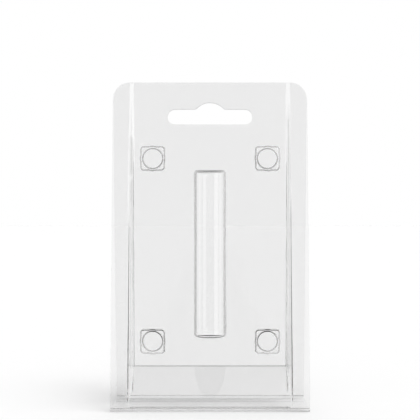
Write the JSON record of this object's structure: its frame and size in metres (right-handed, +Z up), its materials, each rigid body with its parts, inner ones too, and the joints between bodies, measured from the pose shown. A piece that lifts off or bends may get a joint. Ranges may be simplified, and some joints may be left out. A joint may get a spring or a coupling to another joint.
{
  "type": "clamshell pack",
  "caption": "Self-standing tri-fold clamshell pack of clear thermoformed sheet, with a hang slot, round pocket, snaps and a narrow flat base.",
  "frame": {"origin": "centre of the base panel's underside", "axes": "+Z up, the front shell faces -Y, +X to the right as seen from the front"},
  "size_m": [0.0728, 0.015, 0.1216],
  "materials": {
    "clear_sheet": "clear, high gloss"
  },
  "bodies": {
    "base": {"base_panel": "clear_sheet"},
    "front": {"front_shell": "clear_sheet"},
    "back": {"back_shell": "clear_sheet"}
  },
  "joints": [
    {"name": "front_hinge", "type": "hinge", "parent": "base", "child": "front", "pos_m": [0, -0.0075, 0.0015], "axis": [1, 0, 0], "range_deg": [0, 92]},
    {"name": "back_hinge", "type": "hinge", "parent": "base", "child": "back", "pos_m": [0, 0.0075, 0.0015], "axis": [-1, 0, 0], "range_deg": [0, 92]}
  ]
}
